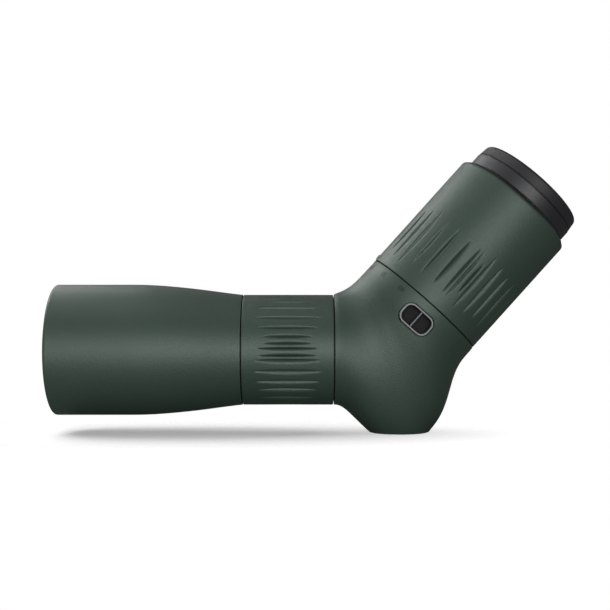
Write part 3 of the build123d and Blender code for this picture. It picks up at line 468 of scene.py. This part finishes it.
FOCUS_FLUTES = twice_round([
    (5, 14), (16.5, 15), (28, 12), (40, 15.4), (53, 16.7), (65, 14.5),
    (74.5, 11.7), (81.6, 11.7), (86.5, 14.5), (94, 13.6), (98.4, 15.6), (110, 16.5),
    (122, 15.8), (132.5, 14.7), (146, 12.9), (162, 12), (173.5, 13),
])
ZOOM_FLUTES = twice_round([
    (8, 13), (20, 12.5), (30.5, 14.5), (41, 15.5), (53, 12.5), (66, 14),
    (79.5, 13), (90.7, 14.5), (94.7, 14), (101, 9), (105.3, 15), (116, 14.5),
    (127, 13.5), (139, 14.5), (151, 13), (164, 14.5), (176, 13),
])
FLUTE_DEPTH = 1.1 * MM
ZOOM_FLUTE_MIDDLE = 21.2 * MM
print(len(FOCUS_FLUTES), "flutes on the focus ring,", len(ZOOM_FLUTES), "on the zoom ring")

# %% What both grips share
GRIP_WALL = 1.5 * MM
SOFT_CORNER, WIDE_CORNER = 0.4 * MM, 1.35 * MM
SMOOTH_UNDER = radians(50)


def finish_grip(piece, axis):
    """Give a sleeve its final shape, its place and its rubber."""
    apply_all(piece)
    stand_on(piece, axis)
    bpy.ops.object.shade_smooth_by_angle(angle=SMOOTH_UNDER)
    piece.data.materials.append(finishes["armour_green"])


# %% The focus ring's grip
low_focus, high_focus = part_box("focus_grip")
focus_r = (high_focus.y - low_focus.y) / 2
focus_start, focus_end = stations("focus_grip", body_axis)
focus_middle = (focus_start + focus_end) / 2
grip = sleeve(
    "focus_grip_fluted", focus_start, focus_end, focus_r, GRIP_WALL, SOFT_CORNER, SOFT_CORNER
)
sink(grip, "flutes", flute_weights(grip, focus_r, focus_middle, FOCUS_FLUTES), FLUTE_DEPTH)
finish_grip(grip, body_axis)
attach(grip, "focus_ring")
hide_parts("focus_grip")
print("focus grip done")

# %% [markdown]
# ## The zoom ring's grip
# It is made in the same way. Its flutes keep to the part nearer the body, where the fingers
# turn it, and a small raised mark at the top, next to the seam, points at the scale. The mark
# is raised with a second set of weights.

# %% The zoom ring's grip
zoom_start, zoom_end = stations("zoom_grip", eyepiece_axis)
low_zoom, high_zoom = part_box("zoom_grip")
zoom_r = (high_zoom.y - low_zoom.y) / 2
zoom_grip = sleeve(
    "zoom_grip_fluted", zoom_start, zoom_end, zoom_r, GRIP_WALL, SOFT_CORNER, WIDE_CORNER
)
zoom_weights = flute_weights(zoom_grip, zoom_r, ZOOM_FLUTE_MIDDLE, ZOOM_FLUTES)
sink(zoom_grip, "flutes", zoom_weights, FLUTE_DEPTH)

# %% The raised mark
MARK_STATION, MARK_HEIGHT = 2.3 * MM, 0.44 * MM
MARK_HALF_WIDTH, MARK_HALF_LENGTH = 0.75 * MM, 1.25 * MM
MARK_STEEPNESS = 3  # its sides take a third of its half width
points = np.array([v.co for v in zoom_grip.data.vertices])
mark_across = np.abs(np.arctan2(points[:, 1], points[:, 0])) * zoom_r / MARK_HALF_WIDTH
mark_along = np.abs(points[:, 2] - MARK_STATION) / MARK_HALF_LENGTH
mark = np.clip(MARK_STEEPNESS * (1 - np.maximum(mark_across, mark_along)), 0, 1)
sink(zoom_grip, "mark", mark * (points[:, 0] > zoom_r - 10 * HAIR), -MARK_HEIGHT)
finish_grip(zoom_grip, eyepiece_axis)
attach(zoom_grip, "zoom_ring")
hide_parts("zoom_grip")
print("zoom grip done")

# %% [markdown]
# ## The zoom scale
# Small numbers stand round the housing just below the zoom ring's seam. They are text that
# has been turned into a mesh, laid onto the armour with a Shrinkwrap modifier, which follows
# its curve, and given a hair of thickness. Their ink is a dull green that is nearly black, a
# little darker than the armour, so they do not stand out.

# %% The numbers
SCALE = ((40, 62.6), (35, 38.0), (30, 13.4), (25, -11.2), (20, -35.8), (17, -51.0))
NUMBER_HEIGHT = 2.6 * MM
CAPITAL_SHARE = 0.7  # a digit's height as a share of the text size
NUMBER_STATION = -3.6 * MM
NUMBER_LIFT, NUMBER_THICKNESS = 0.02 * MM, 0.06 * MM
NUMBER_DROP = 2 * MM  # how far outside the armour a number starts, before it is laid down
finishes["scale_ink"] = finish("scale_ink", (8, 12, 10), (12, 18, 15), 0.7, depth=0.01)


def scale_number(number, angle):
    """One number of the scale, upright as seen from the eyepiece end."""
    nothing_selected()
    bpy.ops.object.text_add()
    text = bpy.context.object
    text.data.body = str(number)
    text.data.align_x = text.data.align_y = "CENTER"
    text.data.size = NUMBER_HEIGHT / CAPITAL_SHARE
    bpy.ops.object.convert(target="MESH")
    piece = bpy.context.object
    piece.name = piece.data.name = f"scale_number_{number}"
    up, near, along = eyepiece_axis.up, eyepiece_axis.near, eyepiece_axis.along
    outwards = up * cos(radians(angle)) + near * sin(radians(angle))
    upright = -along
    turn = Matrix((upright.cross(outwards), upright, outwards)).transposed().to_4x4()
    spot = eyepiece_axis.origin + along * NUMBER_STATION + outwards * (zoom_r + NUMBER_DROP)
    piece.matrix_world = Matrix.Translation(spot) @ turn
    bpy.ops.object.transform_apply(location=True, rotation=True, scale=True)
    bpy.ops.object.mode_set(mode="EDIT")
    bpy.ops.mesh.select_all(action="SELECT")
    bpy.ops.mesh.remove_doubles(threshold=WELD)
    bpy.ops.mesh.subdivide(number_cuts=2)
    bpy.ops.object.mode_set(mode="OBJECT")
    wrap = piece.modifiers.new("onto_armour", "SHRINKWRAP")
    wrap.target, wrap.offset = frame["nodes"]["housing_armour"], NUMBER_LIFT
    thick = piece.modifiers.new("thickness", "SOLIDIFY")
    thick.thickness, thick.offset = NUMBER_THICKNESS, 0
    apply_all(piece)
    piece.data.materials.append(finishes["scale_ink"])
    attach(piece, "chassis")
    return piece


numbers = [scale_number(number, angle) for number, angle in SCALE]
print("numbers:", [piece.name for piece in numbers])

# %% [markdown]
# ## Floor and background
# The scope stands on a white table that runs into a white background, with only a soft shadow
# under it. The floor is matt and pale where the camera sees it, so that it catches that
# shadow, and it fades out round an oval under the scope. The world is white where the camera
# looks at it, straight or through glass, and a dim grey as a source of light.

# %% Floor
FADE_RADIUS, FADE_CENTRE = (0.155, 0.06), (-0.1, -0.004)
FADE_FROM = 0.35  # the fade's start, as a share of the oval's radius
FLOOR_SEEN, FLOOR_LIT, FLOOR_GLOW = 0.95, 0.2, 0.25
FLOOR_SIZE, FLOOR_LEVEL = 8, -0.0002
nothing_selected()
bpy.ops.mesh.primitive_plane_add(size=FLOOR_SIZE, location=(0, 0, FLOOR_LEVEL))
floor = bpy.context.object
floor.name = "floor"
paint = bpy.data.materials.new("floor_white")
paint.use_nodes = True
floor_shader = paint.node_tree.nodes["Principled BSDF"]
floor_shader.inputs["Roughness"].default_value = 0.9
floor_shader.inputs["Specular IOR Level"].default_value = 0.0
floor_shader.inputs["Emission Strength"].default_value = 1.0
fade_scale = tuple(1 / radius for radius in FADE_RADIUS) + (0,)
fade_shift = tuple(-centre / radius for centre, radius in zip(FADE_CENTRE, FADE_RADIUS)) + (0,)
start = Wire(paint.node_tree)
seen = start.node("ShaderNodeLightPath", output="Is Camera Ray")
place = start.node("ShaderNodeTexCoord", output="Object")
far = start.vector("LENGTH", start.vector("MULTIPLY_ADD", place, fade_scale, fade_shift), output=1)
past = (far - FADE_FROM) * (1 / (1 - FADE_FROM))
faded = start.math("MINIMUM", start.math("MAXIMUM", past, 0.0), 1.0)
tone = start.between(seen, grey(FLOOR_LIT), grey(FLOOR_SEEN))
glow = start.between(seen, grey(0), grey(FLOOR_GLOW))
for value, name in ((tone, "Base Color"), (glow, "Emission Color"), (1 - seen * faded, "Alpha")):
    paint.node_tree.links.new(value.socket, floor_shader.inputs[name])
floor.data.materials.append(paint)
floor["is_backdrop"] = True
print("floor laid")

# %% World
WORLD_LIGHT = 0.2
world = bpy.data.worlds.new("world")
bpy.context.scene.world = world
world.use_nodes = True
start = Wire(world.node_tree)
shown = start.node("ShaderNodeLightPath", output="Is Camera Ray")
in_glass = start.node("ShaderNodeLightPath", output="Is Transmission Ray")
white_share = start.math("MAXIMUM", shown, in_glass)
strengths = {0: white_share, 2: WORLD_LIGHT, 3: 1.0}
light = start.node("ShaderNodeMix", {"data_type": "FLOAT"}, strengths)
background = world.node_tree.nodes["Background"]
background.inputs["Color"].default_value = (1, 1, 1, 1)
world.node_tree.links.new(light.socket, background.inputs["Strength"])
print("world lit")

# %% [markdown]
# ## Finish
# The box of the dressed model is held against that of the CAD model, and how much it has grown
# is printed, to show that nothing has grown.

# %% Sizes, and the end
bpy.context.view_layer.update()
shown_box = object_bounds()
grown = (shown_box[1] - shown_box[0]) - (cad_box[1] - cad_box[0])
print("grew by", [round(x / MM, 2) for x in grown], "mm")
